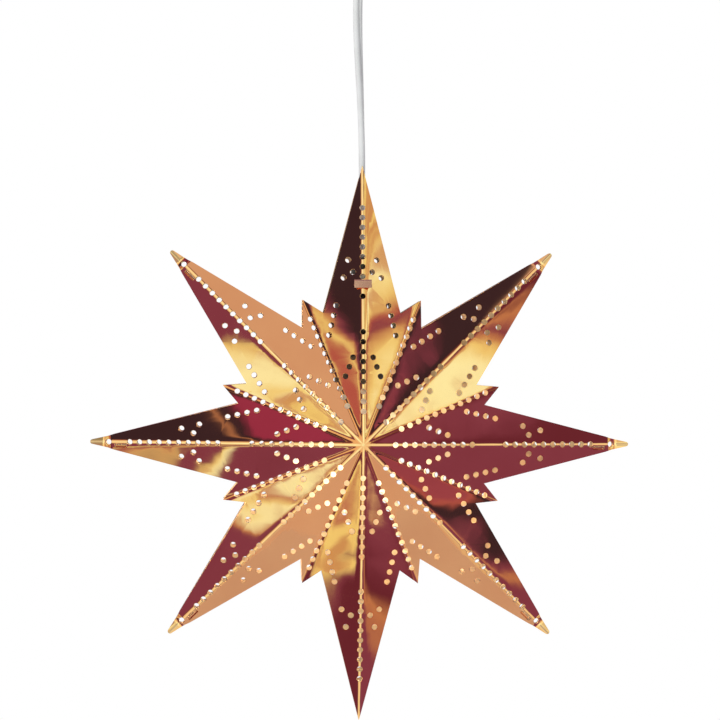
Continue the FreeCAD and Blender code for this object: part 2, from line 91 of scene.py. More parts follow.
def worn_surface():
    """Node group: soft blotches and fine grain that change over a surface."""
    group = bpy.data.node_groups.new("worn_surface", "ShaderNodeTree")
    for name, value in (("Blotches", 40), ("Grain", 900)):
        socket = group.interface.new_socket(name, in_out="INPUT", socket_type="NodeSocketFloat")
        socket.default_value = value
    for name in ("Tone", "Height"):
        group.interface.new_socket(name, in_out="OUTPUT", socket_type="NodeSocketFloat")
    inside = group.nodes.new("NodeGroupInput")
    outside = group.nodes.new("NodeGroupOutput")
    place = group.nodes.new("ShaderNodeTexCoord")
    for scale, detail, result in (("Blotches", 4, "Tone"), ("Grain", 2, "Height")):
        cloud = group.nodes.new("ShaderNodeTexNoise")
        cloud.inputs["Detail"].default_value = detail
        link(group, place.outputs["Object"], cloud.inputs["Vector"])
        link(group, inside.outputs[scale], cloud.inputs["Scale"])
        link(group, cloud.outputs["Fac"], outside.inputs[result])
    return group


WORN = worn_surface()


def finish_of(name, tones, rough, metallic=0.0, blotches=40, grain=900, depth=0.00002, coat=0.0):
    """A finish whose colour drifts between two tones, with a rough range and a fine grain."""
    material = bpy.data.materials.new(name)
    material.use_nodes = True
    tree = material.node_tree
    shader = tree.nodes["Principled BSDF"]
    worn = tree.nodes.new("ShaderNodeGroup")
    worn.node_tree = WORN
    worn.inputs["Blotches"].default_value = blotches
    worn.inputs["Grain"].default_value = grain
    ramp = tree.nodes.new("ShaderNodeValToRGB")
    for mark, position, tone in zip(ramp.color_ramp.elements, (0.36, 0.64), tones):
        mark.position = position
        mark.color = (*tone, 1)
    link(tree, worn.outputs["Tone"], ramp.inputs["Fac"])
    link(tree, ramp.outputs["Color"], shader.inputs["Base Color"])
    gloss = tree.nodes.new("ShaderNodeMapRange")
    gloss.inputs["From Min"].default_value = 0.3
    gloss.inputs["From Max"].default_value = 0.7
    gloss.inputs["To Min"].default_value = rough[0]
    gloss.inputs["To Max"].default_value = rough[1]
    link(tree, worn.outputs["Tone"], gloss.inputs["Value"])
    link(tree, gloss.outputs["Result"], shader.inputs["Roughness"])
    bump = tree.nodes.new("ShaderNodeBump")
    bump.inputs["Strength"].default_value = 1
    bump.inputs["Distance"].default_value = depth
    link(tree, worn.outputs["Height"], bump.inputs["Height"])
    link(tree, bump.outputs["Normal"], shader.inputs["Normal"])
    shader.inputs["Metallic"].default_value = metallic
    shader.inputs["Coat Weight"].default_value = coat
    shader.inputs["Coat Roughness"].default_value = 0.08
    return material


def piece_from(bm, name, finishes, body, *nodes):
    """Makes a finished mesh a piece that rides on a body and stands for CAD nodes."""
    mesh = bpy.data.meshes.new(name)
    bm.to_mesh(mesh)
    bm.free()
    for finish in finishes:
        mesh.materials.append(finish)
    piece = bpy.data.objects.new(name, mesh)
    bpy.context.collection.objects.link(piece)
    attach(piece, body)
    if nodes:
        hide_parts(*nodes)
    return piece


def refinish(finish, *nodes):
    for node in nodes:
        NODES[node].data.materials.clear()
        NODES[node].data.materials.append(finish)


def read_route(points):
    """Places along the smooth line that the cord follows."""
    curve = bpy.data.curves.new("cord_line", "CURVE")
    curve.dimensions = "3D"
    spline = curve.splines.new("NURBS")
    spline.points.add(len(points) - 1)
    for point, place in zip(spline.points, points):
        point.co = (*place, 1)
    spline.order_u = 3
    spline.use_endpoint_u = True
    spline.resolution_u = 14
    holder = bpy.data.objects.new("cord_line", curve)
    line = bpy.data.meshes.new_from_object(holder)
    places = [v.co.copy() for v in line.vertices]
    bpy.data.objects.remove(holder)
    bpy.data.curves.remove(curve)
    bpy.data.meshes.remove(line)
    return places if places[0].z < places[-1].z else places[::-1]


def twin_outline():
    """The cord's section: two round cores that meet in a groove, as (wide, thick) places."""
    radius = CORD_THICK / 2
    meet = math.acos(CORE_APART / radius)
    half = []
    for step in range(13):
        angle = (math.pi - meet) * (step / 6 - 1)
        half.append((CORE_APART + radius * math.cos(angle), radius * math.sin(angle)))
    return half + [(-wide, -thick) for wide, thick in half]


def cord_mesh(line):
    bm = bmesh.new()
    outline = twin_outline()
    rings = []
    for i, place in enumerate(line):
        ahead = (line[min(i + 1, len(line) - 1)] - line[max(i - 1, 0)]).normalized()
        rise = min(1, max(0, (place.z - TURN_FROM) / TURN_OVER))
        turn = CORD_TURN * rise * rise * (3 - 2 * rise)
        side = Vector((math.sin(turn), math.cos(turn), 0))
        side = (side - ahead * side.dot(ahead)).normalized()
        over = ahead.cross(side)
        rings.append([bm.verts.new(place + side * w + over * t) for w, t in outline])
    for near, far in zip(rings, rings[1:]):
        for k in range(len(near)):
            bm.faces.new((near[k - 1], near[k], far[k], far[k - 1]))
    bm.faces.new(rings[0])
    bm.faces.new(rings[-1][::-1])
    bmesh.ops.recalc_face_normals(bm, faces=bm.faces[:])
    for face in bm.faces:
        face.smooth = True
    return bm


cord_line = read_route(CORD_ROUTE)
white_pvc = finish_of(
    "white_pvc", [(0.78, 0.78, 0.76), (0.86, 0.86, 0.84)], (0.32, 0.45), 0, 60, 700, 0.00003)
cord = piece_from(cord_mesh(cord_line), "twin_cord", [white_pvc], "hanging_lamp", "hanging_cord")

core_pvc = finish_of("core_pvc", [(0.62, 0.63, 0.62), (0.70, 0.71, 0.70)], (0.4, 0.5), 0, 80, 900)
refinish(core_pvc, "core_tails")
hanger_plastic = finish_of(
    "hanger_plastic", [(0.74, 0.74, 0.71), (0.80, 0.80, 0.77)], (0.38, 0.5), 0, 50, 1200, 0.00003)
refinish(hanger_plastic, "cord_hanger")

# ---- Ceiling bracket and hook --------------------------------------------------
# A zinc-plated steel strip screwed to the ceiling. A bent wire hook stands through
# its middle and is held by a nut underneath.

zinc = finish_of("zinc_plate", [(0.56, 0.57, 0.58), (0.68, 0.68, 0.67)], (0.24, 0.42), 1, 180, 1500, 0.00001)


def soften(bm, width, segments, sharper_than=25):
    """Rounds the edges that turn by more than an angle in degrees."""
    sharp = [
        e for e in bm.edges
        if len(e.link_faces) == 2 and e.calc_face_angle() > math.radians(sharper_than)]
    bmesh.ops.bevel(
        bm, geom=sharp, offset=width * MM, offset_type="OFFSET", segments=segments, affect="EDGES",
        profile=0.5, material=-1, clamp_overlap=True)


def merged_copy(node):
    """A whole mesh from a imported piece's loose triangles, to round off or reshape."""
    bm = bmesh.new()
    bm.from_mesh(NODES[node].data)
    bmesh.ops.remove_doubles(bm, verts=bm.verts[:], dist=1e-6)
    bmesh.ops.dissolve_limit(bm, angle_limit=math.radians(1), verts=bm.verts[:], edges=bm.edges[:])
    return bm


bracket = merged_copy("ceiling_bracket")
soften(bracket, 0.25, 2, 40)
piece_from(bracket, "bracket_strip", [zinc], "ceiling_fitting", "ceiling_bracket")
nut = merged_copy("hook_nut")
soften(nut, 0.2, 2, 40)
piece_from(nut, "hook_lock_nut", [zinc], "ceiling_fitting", "hook_nut")
refinish(zinc, "ceiling_hook")

# ---- Terminal block ------------------------------------------------------------
# A two-pole block in white polyamide, loose in the cup, that joins the cord's cores
# to the house wiring. Each pole has two brass clamp screws in small square wells.

WELL = 0.0021
WELL_ALONG = 0.0045
WELL_ACROSS = 0.003
WELL_DEPTH = 0.0013
SCREW_SLOT = 0.00028


def lathe(bm, profile, base, segments, material=0):
    """Turns a closed profile of (radius, height) in mm round the vertical axis."""
    verts = [bm.verts.new((r * MM, 0, z * MM + base)) for r, z in profile]
    off_axis = [i for i in range(len(verts)) if profile[i - 1][0] + profile[i][0] > 0]
    edges = [bm.edges.new((verts[i - 1], verts[i])) for i in off_axis]
    before = set(bm.faces)
    bmesh.ops.spin(
        bm, geom=verts + edges, cent=(0, 0, 0), axis=(0, 0, 1), angle=2 * math.pi, steps=segments,
        use_merge=True)
    made = [f for f in bm.faces if f not in before]
    bmesh.ops.remove_doubles(bm, verts=list({v for f in made for v in f.verts}), dist=1e-7)
    made = [f for f in bm.faces if f not in before]
    bmesh.ops.recalc_face_normals(bm, faces=made)
    for face in made:
        face.smooth = True
        face.material_index = material
    return made


def box_mesh(bm, low, high):
    """A plain block between two corners in metres."""
    middle = [(a + b) / 2 for a, b in zip(low, high)]
    size = [b - a for a, b in zip(low, high)]
    bmesh.ops.create_cube(bm, size=1, matrix=Matrix.Translation(middle) @ Matrix.Diagonal((*size, 1)))


def cut_across(bm, place, normal, reach=1e-6):
    """Cuts a whole mesh along a plane."""
    geometry = bm.verts[:] + bm.edges[:] + bm.faces[:]
    bmesh.ops.bisect_plane(bm, geom=geometry, dist=reach, plane_co=place, plane_no=normal)


block_low, block_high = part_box("terminal_block")
polyamide = finish_of(
    "polyamide", [(0.72, 0.72, 0.68), (0.80, 0.80, 0.76)], (0.35, 0.5), 0, 70, 1100, 0.00002)
brass = finish_of("brass", [(0.72, 0.50, 0.22), (0.82, 0.62, 0.30)], (0.22, 0.4), 1, 160, 1400, 0.00001)
block = bmesh.new()
box_mesh(block, block_low, block_high)
block_middle = (block_low[0] + block_high[0]) / 2
wells = [
    Vector((block_middle + along, across, block_low[2]))
    for across in (-WELL_ACROSS, WELL_ACROSS) for along in (-WELL_ALONG, WELL_ALONG)]
for well in wells:
    for side in (Vector((1, 0, 0)), Vector((0, 1, 0))):
        for reach in (WELL, -WELL):
            cut_across(block, well + side * reach, side)
sunk = [f for f in block.faces if min((f.calc_center_median() - well).length for well in wells) < 0.0002]
bmesh.ops.inset_individual(block, faces=sunk, thickness=0.0001, depth=-WELL_DEPTH)
soften(block, 0.15, 2, 60)
piece_from(block, "terminal_body", [polyamide], "hanging_lamp", "terminal_block")
screws = bmesh.new()
for well in wells:
    head = Matrix.Translation(well + Vector((0, 0, 0.0009)))
    bmesh.ops.create_cone(
        screws, cap_ends=True, segments=24, radius1=0.0017, radius2=0.0018, depth=0.0008, matrix=head)
for well in wells:
    for side in (-SCREW_SLOT, SCREW_SLOT):
        cut_across(screws, well + Vector((0, side, 0)), (0, 1, 0))
heads = [f for f in screws.faces if f.normal.z < -0.9]
slots = [f for f in heads if min(abs(f.calc_center_median().y - well.y) for well in wells) < 0.0001]
bmesh.ops.inset_individual(screws, faces=slots, thickness=0.00002, depth=-0.0004)
soften(screws, 0.12, 1, 40)
piece_from(screws, "terminal_screws", [brass], "hanging_lamp")

# ---- Ceiling cup ---------------------------------------------------------------
# A thin white moulded bowl that hides the hook and the wiring. A ribbed grip under
# it is clamped on the cord by a side screw and keeps the cup against the ceiling.

CUP_OUTSIDE = [
    (41.0, -4.5), (41.0, -5.4), (40.88, -9), (40.6, -16), (40.25, -23), (39.7, -28), (38.7, -33), (37.0, -38),
    (34.6, -42.5), (31.4, -46.3), (27.2, -49.4), (22.2, -51.8), (17.5, -53.3), (13.4, -54.0), (5.7, -54.0),
]
CUP_INSIDE = [(r - 1.55, z + 0.5 + 1.1 * min(1, (41 - r) / 12)) for r, z in CUP_OUTSIDE[2:-1]]

cup_plastic = finish_of(
    "cup_plastic", [(0.80, 0.80, 0.78), (0.86, 0.86, 0.84)], (0.22, 0.36), 0, 24, 1600, 0.000015)
cup = bmesh.new()
lathe(cup, CUP_OUTSIDE + [(5.7, -52.4)] + CUP_INSIDE[::-1] + [(39.4, -4.5)], 0, 96)
soften(cup, 0.25, 2, 50)
for face in cup.faces:
    face.smooth = True
piece_from(cup, "cup_shell", [cup_plastic], "ceiling_cup", "ceiling_cup")

GRIP_SIDES = 96
grip = bmesh.new()
lathe(grip, [
    (4.4, -63), (6.6, -63), (7.2, -62.6), (7.45, -61.6), (7.5, -60.4), (7.5, -55.4), (7.3, -54.4),
    (6.9, -54.05), (5.38, -54.02), (5.38, -48), (4.4, -48)], 0, GRIP_SIDES)
GRIP_MIDDLE = -0.0579
GRIP_STEP = 360 / GRIP_SIDES
wall = [
    f for f in grip.faces
    if abs(f.calc_center_median().z - GRIP_MIDDLE) < 0.002 and f.calc_center_median().xy.length > 0.007]
ribs = [
    f for f in wall
    if int(round(math.degrees(math.atan2(*f.calc_center_median().xy)) / GRIP_STEP)) % 4 == 0]
bmesh.ops.inset_individual(grip, faces=ribs, thickness=0.00008, depth=-0.00035)
piece_from(grip, "cup_cord_grip", [cup_plastic], "ceiling_cup", "cup_grip")

SCREW_RADIUS = 0.0015
screw_low, screw_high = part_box("grip_screw")
screw = bmesh.new()
nose = Vector((0, 0, (screw_low[2] + screw_high[2]) / 2))
nose.y = (screw_low[1] + screw_high[1]) / 2
lie = Matrix.Translation(nose) @ Matrix.Rotation(math.pi / 2, 4, "X")
bmesh.ops.create_cone(
    screw, cap_ends=True, segments=32, radius1=SCREW_RADIUS, radius2=SCREW_RADIUS,
    depth=screw_high[1] - screw_low[1], matrix=lie)
bmesh.ops.inset_region(
    screw, faces=[f for f in screw.faces if f.normal.y < -0.9], thickness=0.0004, depth=0.0,
    use_even_offset=True)
soften(screw, 0.15, 2, 60)
for face in screw.faces:
    face.smooth = True
piece_from(screw, "grip_screw_shank", [zinc], "ceiling_cup", "grip_screw")

# ---- Lampholder ----------------------------------------------------------------
# A small screw lampholder in black heat-proof plastic, hung on a threaded nipple
# from the copper strap, with a brass thread sleeve and a sprung centre contact.

STRAP_ABOVE = 79.9
HOLDER_BASE = HUB.z
THREAD_PITCH = 2.8
RIB_PITCH = 5.0


def thread_profile(radius, low, high, pitch, depth):
    """Places up a threaded wall, from the lower end to the upper one."""
    steps = int((high - low) / pitch * 6)
    places = []
    for i in range(steps + 1):
        height = low + (high - low) * i / steps
        places.append((radius - depth * (0.5 - 0.5 * math.cos(2 * math.pi * (height - low) / pitch)), height))
    return places


holder_plastic = finish_of(
    "holder_plastic", [(0.045, 0.040, 0.038), (0.075, 0.068, 0.062)], (0.34, 0.5), 0, 50, 1300, 0.00002)
holder = bmesh.new()
lathe(holder, [
    (5.0, 79.9), (8.9, 79.9), (9.7, 79.75), (12.9, 75.9), (13.4, 74.9), (13.5, 74.2), (13.5, 66.3),
    (13.3, 65.9), (11.5, 65.9), (11.5, 72.9), (5.0, 72.9)], HOLDER_BASE, 72)
piece_from(holder, "holder_cap_shell", [holder_plastic], "hanging_lamp", "holder_cap")
skirt = bmesh.new()
ribbed = []
for i in range(6):
    low = 33.4 + RIB_PITCH * i
    ribbed += [(13.5, low), (13.5, low + 2.6), (13.1, low + 3.0), (13.1, low + 4.6)]
lathe(
    skirt, [(12.0, 29.9), (13.2, 29.9), (13.5, 30.4)] + ribbed
    + [(13.5, 63.6), (13.5, 65.6), (13.3, 65.9), (12.0, 65.9)], HOLDER_BASE, 72)
piece_from(skirt, "holder_skirt_shell", [holder_plastic], "hanging_lamp", "holder_skirt")
sleeve = bmesh.new()
inner_thread = thread_profile(7.44, 36.0, 59.9, THREAD_PITCH, 0.34)
lathe(sleeve, [(7.45, 59.9), (7.45, 35.9)] + inner_thread, HOLDER_BASE, 48)
piece_from(sleeve, "brass_thread_sleeve", [brass], "hanging_lamp", "thread_sleeve")
refinish(holder_plastic, "holder_insert", "cord_grip")
refinish(brass, "centre_contact")
lock_nut = merged_copy("holder_nut")
soften(lock_nut, 0.2, 2, 40)
piece_from(lock_nut, "nipple_lock_nut", [zinc], "hanging_lamp", "holder_nut")
refinish(zinc, "holder_nipple")

# ---- Bulb ----------------------------------------------------------------------
# A small opal drop bulb on a nickel-plated screw cap, with a black glass insulator
# and a soldered centre contact. Only its lower dome glows. It screws up into the
# lampholder.

GLASS_PROFILE = [
    (0, 36.0), (6.6, 36.0), (6.7, 33), (6.95, 30.5), (7.5, 28), (8.4, 25.4), (9.6, 22.6), (11.0, 19.8),
    (12.3, 16.8), (13.3, 13.6), (13.9, 10.4), (13.95, 7.2), (13.5, 3.9), (12.5, 0.9), (10.9, -1.8),
    (8.7, -3.9), (6.0, -5.2), (3.0, -5.85), (0, -6.0),
]
DOME_TOP = 9.5
DOME_LIT = 4.5
DOME_GLOW = (1, 0.90, 0.72, 1)
DOME_STRENGTH = 26

opal = finish_of(
    "opal_glass", [(0.88, 0.88, 0.86), (0.92, 0.92, 0.90)], (0.12, 0.2), 0, 30, 600, 0.000004, coat=0.6)
nickel = finish_of("nickel", [(0.62, 0.61, 0.58), (0.74, 0.73, 0.70)], (0.2, 0.34), 1, 200, 1500, 0.000008)
opal_tree = opal.node_tree
opal_place = opal_tree.nodes.new("ShaderNodeTexCoord")
opal_height = opal_tree.nodes.new("ShaderNodeSeparateXYZ")
link(opal_tree, opal_place.outputs["Object"], opal_height.inputs["Vector"])
dome = opal_tree.nodes.new("ShaderNodeMapRange")
dome.interpolation_type = "SMOOTHSTEP"
dome.inputs["From Min"].default_value = HOLDER_BASE + DOME_TOP * MM
dome.inputs["From Max"].default_value = HOLDER_BASE + DOME_LIT * MM
link(opal_tree, opal_height.outputs["Z"], dome.inputs["Value"])
glow = opal_tree.nodes.new("ShaderNodeMix")
glow.data_type = "RGBA"
glow.inputs["A"].default_value = (0, 0, 0, 1)
glow.inputs["B"].default_value = DOME_GLOW
link(opal_tree, dome.outputs["Result"], glow.inputs["Factor"])
opal_shader = opal_tree.nodes["Principled BSDF"]
link(opal_tree, glow.outputs["Result"], opal_shader.inputs["Emission Color"])
opal_shader.inputs["Emission Strength"].default_value = DOME_STRENGTH
glass = bmesh.new()
lathe(glass, GLASS_PROFILE, HOLDER_BASE, 64)
piece_from(glass, "opal_bulb", [opal], "bulb", "bulb_glass")
cap_low, cap_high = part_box("bulb_cap")
cap_bottom = (cap_low[2] - HOLDER_BASE) / MM
cap_top = (cap_high[2] - HOLDER_BASE) / MM
bulb_thread = bmesh.new()
lathe(
    bulb_thread, [(0, cap_bottom), (6.95, cap_bottom)]
    + thread_profile(6.94, cap_bottom + 0.8, cap_top - 1.6, THREAD_PITCH, 0.5)
    + [(6.0, cap_top), (0, cap_top)], HOLDER_BASE, 48)
piece_from(bulb_thread, "bulb_screw_cap", [nickel], "bulb", "bulb_cap")
black_glass = finish_of("black_glass", [(0.02, 0.02, 0.025), (0.035, 0.035, 0.04)], (0.1, 0.2), 0, 60, 900)
solder = finish_of("solder", [(0.55, 0.55, 0.54), (0.68, 0.68, 0.66)], (0.3, 0.5), 1, 300, 1200)
refinish(black_glass, "bulb_insulator")
refinish(solder, "bulb_contact")

# ---- Folded star sheets --------------------------------------------------------
# Two thin sheets of polished copper, each folded up along eight ridges and down
# along eight valleys, and punched before folding with rows of small round holes.
# The six side points are pressed flat at their ends, the top and bottom stay open.

POINTS = 8
POINT_TURN = math.radians(45)
HALF_TURN = POINT_TURN / 2
POINT_REACH = 142.5
BLUNT_REACH = 138.5
TOP_NOTCH = (66.4, 19.6)
LOW_NOTCH = (64.6, 19.9)
SIDE_NOTCH = (62.8, 20.1)
SHORT_POINTS = (79.4, 76.6, 76.2, 77.6, 77.6, 76.2, 76.6, 79.4)
HUB_DEPTH = 38.5
CORD_GAP = 2.75
SIDE_GAP = 0.2
VALLEY_FALL = math.tan(math.radians(22.4))
SHEET = 0.5
SHEET_OUT = SHEET / math.cos(math.radians(26.2))
FOLD_ROUND = 0.55
TWIST = 0.025
TWIST_MIDDLE = 70
SWAYS = ((0, 46, 0.27), (40, 19, 0.05), (80, 8, 0.010))
STILL_HUB = 24
STILL_END = (134, 30)
HOLE = 2.85
RIM = 0.12
RIM_DIP = 0.06
HOLE_SIDES = 14
PRESS_START = 127.4
PRESS_END = 131.4
PRESSED_FLAT = 0.72
EYELET_REACH = 128.9
SLOT = (119.5, 126.0, 0.9, 2.9)
STRAP_SLOT = (79.5, 81.0, 4.65)
FOLD_CUTS = (-3.2, -1.9, -1.1, -0.65, -0.3, 0, 0.3, 0.65, 1.1, 1.9, 3.2)
PRESS_CUTS = (127.5, 128.5, 129.5, 130.5, 131.5, 132.5, 134)
NET_PITCH = 5.1
NET_START = 0.3
NEAR = 1e-5
LOOKUP_CELL = 6
CREASE_WIDE = 1.3


def row(first, last, count):
    """Evenly spaced numbers from the first to the last."""
    return [first + (last - first) * i / (count - 1) for i in range(count)]


OPEN_RIDGE_HOLES = row(16.8, 56.9, 9) + row(75.0, 120.5, 10)
SIDE_RIDGE_HOLES = row(16.2, 55.8, 9) + row(73.2, 118.1, 10)
VALLEY_HOLES = row(21.0, 68.6, 11)
OPEN_FACE_HOLES = (
    list(zip(row(55.2, 70.3, 4), row(17.0, 13.4, 4))) + list(zip(row(34.4, 44.0, 3), row(8.9, 5.1, 3))))
OPEN_FACE_HOLES += [(84.5, 9.6), (87.4, 4.9), (93.6, 7.3)]
SIDE_FACE_HOLES = (
    list(zip(row(53.4, 68.2, 4), row(16.6, 13.2, 4))) + list(zip(row(33.6, 43.1, 3), row(8.6, 4.9, 3))))
SIDE_FACE_HOLES += [(82.6, 9.3), (85.5, 4.85), (91.7, 7.15)]


def is_open(point):
    return point in (0, 4)


def on_sheet(point, along, across):
    """A place in the flat picture plane, in mm from the hub."""
    turn = POINT_TURN * point
    x = along * math.sin(turn) + across * math.cos(turn)
    z = along * math.cos(turn) - across * math.sin(turn)
    return Vector((x, 0, z))


def fall_rates(point):
    end_gap = CORD_GAP if is_open(point) else SIDE_GAP
    along = (HUB_DEPTH - end_gap) / POINT_REACH
    across = (VALLEY_FALL - along * math.cos(HALF_TURN)) / math.sin(HALF_TURN)
    return along, across


def face_depth(point, place):
    """How far along its ridge a flat place lies, and how far the folded face stands out there."""
    turn = POINT_TURN * point
    along = place.x * math.sin(turn) + place.z * math.cos(turn)
    across = place.x * math.cos(turn) - place.z * math.sin(turn)
    fall_along, fall_across = fall_rates(point)
    crown = math.hypot(across, FOLD_ROUND) - FOLD_ROUND * 0.35
    return along, (
        HUB_DEPTH - fall_along * along
        - (fall_across - TWIST * (along - TWIST_MIDDLE) / TWIST_MIDDLE) * crown)


def sheet_depth(place, seed):
    nearest = math.atan2(place.x, place.z) / POINT_TURN
    point = round(nearest) % POINTS
    other = (point + (1 if nearest > round(nearest) else -1)) % POINTS
    along, depth = face_depth(point, place)
    beside = face_depth(other, place)[1]
    depth = (depth + beside) / 2 + math.hypot((depth - beside) / 2, FOLD_ROUND * 0.3)
    sway = sum(
        noise.noise(Vector((place.x, seed + apart, place.z)) / long) * high for apart, long, high in SWAYS)
    end, over = STILL_END
    ease = min(1, place.length / STILL_HUB) * min(1, max(0, end - along) / over)
    depth += sway * ease
    if not is_open(point):
        press = min(1, max(0, (along - PRESS_START) / (PRESS_END - PRESS_START)))
        press = press * press * (3 - 2 * press)
        depth += (SIDE_GAP - depth) * press * PRESSED_FLAT
    return depth + SHEET_OUT


def point_end(point):
    """The outline of a point's end, as (along, across) places."""
    if is_open(point):
        return [(POINT_REACH, 0)]
    radius = 1.2
    turns = [math.radians(72 - 18 * step) for step in range(9)]
    tip = [(BLUNT_REACH - radius + radius * math.cos(t), -radius * math.sin(t)) for t in turns]
    return [(126.4, -3.95), (129.2, -3.0)] + tip + [(129.2, 3.0), (126.4, 3.95)]


def notch(point):
    return TOP_NOTCH if point == 0 else LOW_NOTCH if point == 4 else SIDE_NOTCH


def star_outline():
    places = []
    for point in range(POINTS):
        along, across = notch(point)
        short = SHORT_POINTS[point]
        around = [(along, -across)] + point_end(point) + [(along, across)]
        around.append((short * math.cos(HALF_TURN), short * math.sin(HALF_TURN)))
        places += [on_sheet(point, a, c) for a, c in around]
    return places


def add_loop(bm, places):
    verts = [bm.verts.new(p) for p in places]
    for i in range(len(verts)):
        bm.edges.new((verts[i - 1], verts[i]))


def hole_places():
    places = []
    for point in range(POINTS):
        for reach in OPEN_RIDGE_HOLES if is_open(point) else SIDE_RIDGE_HOLES:
            if point > 0 or abs(reach - STRAP_SLOT[0]) > 2.5:
                places.append(on_sheet(point, reach, 0))
        for reach in VALLEY_HOLES:
            places.append(on_sheet(point, reach * math.cos(HALF_TURN), reach * math.sin(HALF_TURN)))
        for along, across in OPEN_FACE_HOLES if is_open(point) else SIDE_FACE_HOLES:
            places += [on_sheet(point, along, across), on_sheet(point, along, -across)]
        if not is_open(point):
            places.append(on_sheet(point, EYELET_REACH, 0))
    return places


def cut_folds(bm):
    """Cuts along every fold and close beside it, and a coarse net for the sheet's slight sway."""
    for fold in range(POINTS):
        turn = HALF_TURN * fold
        normal = Vector((math.cos(turn), 0, -math.sin(turn)))
        for beside in FOLD_CUTS:
            cut_across(bm, normal * beside, normal, NEAR)
    for step in range(-27, 28):
        place = step * NET_PITCH + NET_START
        cut_across(bm, Vector((place, 0, 0)), Vector((1, 0, 0)), NEAR)
        cut_across(bm, Vector((0, 0, place)), Vector((0, 0, 1)), NEAR)
    for point in range(POINTS):
        if not is_open(point):
            for reach in PRESS_CUTS:
                cut_across(bm, on_sheet(point, reach, 0), on_sheet(point, 1, 0), NEAR)


def draw_rims(bm, centres):
    """Draws each hole's edge in and slightly down, as a punch does."""
    lookup = {}
    for centre in centres:
        lookup.setdefault((round(centre.x / LOOKUP_CELL), round(centre.z / LOOKUP_CELL)), []).append(centre)
    rim_radius = HOLE / 2 + RIM

    def centre_of(place):
        column, level = round(place.x / LOOKUP_CELL), round(place.z / LOOKUP_CELL)
        for i in (-1, 0, 1):
            for j in (-1, 0, 1):
                for centre in lookup.get((column + i, level + j), []):
                    if abs((centre - place).length - rim_radius) < 0.2:
                        return centre
        return None

    rims = [e for e in bm.edges if e.is_boundary and centre_of((e.verts[0].co + e.verts[1].co) / 2)]
    for edge in rims:
        edge.smooth = False
    drawn = bmesh.ops.extrude_edge_only(bm, edges=rims)["geom"]
    for vert in drawn:
        if isinstance(vert, bmesh.types.BMVert):
            centre = centre_of(vert.co)
            if centre is not None:
                vert.co = centre + (vert.co - centre) * (HOLE / 2) / rim_radius
                vert.co.y = -RIM_DIP


def star_sheet(name, facing, seed, body, node):
    bm = bmesh.new()
    add_loop(bm, star_outline())
    centres = hole_places()
    for centre in centres:
        lie = Matrix.Translation(centre) @ Matrix.Rotation(math.pi / 2, 4, "X")
        bmesh.ops.create_circle(bm, cap_ends=False, radius=HOLE / 2 + RIM, segments=HOLE_SIDES, matrix=lie)
    near, far, inner, outer = SLOT
    for point in range(POINTS):
        if facing < 0 and not is_open(point):
            side = 1 if point < 4 else -1
            corners = [(near, inner), (far, inner), (far, outer), (near, outer)]
            add_loop(bm, [on_sheet(point, a, c * side) for a, c in corners])
    low, high, wide = STRAP_SLOT
    add_loop(bm, [
        Vector((-wide, 0, low)), Vector((wide, 0, low)), Vector((wide, 0, high)), Vector((-wide, 0, high))])
    bmesh.ops.triangle_fill(bm, use_beauty=True, use_dissolve=False, edges=bm.edges[:], normal=(0, -1, 0))
    cut_folds(bm)
    draw_rims(bm, centres)
    for edge in bm.edges:
        if edge.is_boundary:
            edge.smooth = False
    # This layer marks the ridge folds, where a highlight is painted into the copper's colour.
    crease_highlight = bm.verts.layers.float.new("crease_highlight")
    for vert in bm.verts:
        flat = Vector((vert.co.x, 0, vert.co.z))
        turned_to = math.atan2(flat.x, flat.z) / POINT_TURN
        across = abs(math.sin((turned_to - round(turned_to)) * POINT_TURN)) * flat.length
        vert[crease_highlight] = max(0, 1 - across / CREASE_WIDE)
        vert.co.y = facing * (sheet_depth(flat, seed) + vert.co.y)
        vert.co = vert.co * MM + HUB
    bmesh.ops.recalc_face_normals(bm, faces=bm.faces[:])
    if sum(f.normal.y for f in bm.faces) * facing < 0:
        bmesh.ops.reverse_faces(bm, faces=bm.faces[:])
    for face in bm.faces:
        face.smooth = True
    sheet = piece_from(bm, name, [bright_copper, inner_copper, edge_copper], body, node)
    wall = sheet.modifiers.new("sheet", "SOLIDIFY")
    wall.thickness = SHEET * MM
    wall.offset = -1
    wall.material_offset = 1
    wall.material_offset_rim = 2


def paint_crease_highlight(material):
    """Lightens the copper along its ridge creases: a painted highlight where the rounded folds catch the
    light.
    """
    tree = material.node_tree
    shader = tree.nodes["Principled BSDF"]
    plain = shader.inputs["Base Color"].links[0].from_socket
    crease_highlight = tree.nodes.new("ShaderNodeAttribute")
    crease_highlight.attribute_name = "crease_highlight"
    mix = tree.nodes.new("ShaderNodeMix")
    mix.data_type = "RGBA"
    # Pale copper tone painted along the ridges as a highlight.
    mix.inputs["B"].default_value = (0.97, 0.62, 0.36, 1)
    link(tree, crease_highlight.outputs["Fac"], mix.inputs["Factor"])
    link(tree, plain, mix.inputs["A"])
    link(tree, mix.outputs["Result"], shader.inputs["Base Color"])


bright_copper = finish_of(
    "polished_copper", [(0.86, 0.39, 0.185), (0.91, 0.44, 0.21)], (0.018, 0.035), 1, 26, 420, 0.0000004)
# Painted highlight along the ridge creases of the polished copper.
paint_crease_highlight(bright_copper)
inner_copper = finish_of(
    "tarnished_copper", [(0.78, 0.60, 0.42), (0.90, 0.74, 0.54)], (0.40, 0.55), 1, 50, 500, 0.00001)
edge_copper = finish_of(
    "cut_copper", [(0.60, 0.29, 0.22), (0.72, 0.38, 0.29)], (0.2, 0.34), 1, 120, 900, 0.00001)
strap_copper = finish_of(
    "strap_copper", [(0.62, 0.30, 0.24), (0.74, 0.39, 0.31)], (0.22, 0.32), 1, 90, 900, 0.00001)

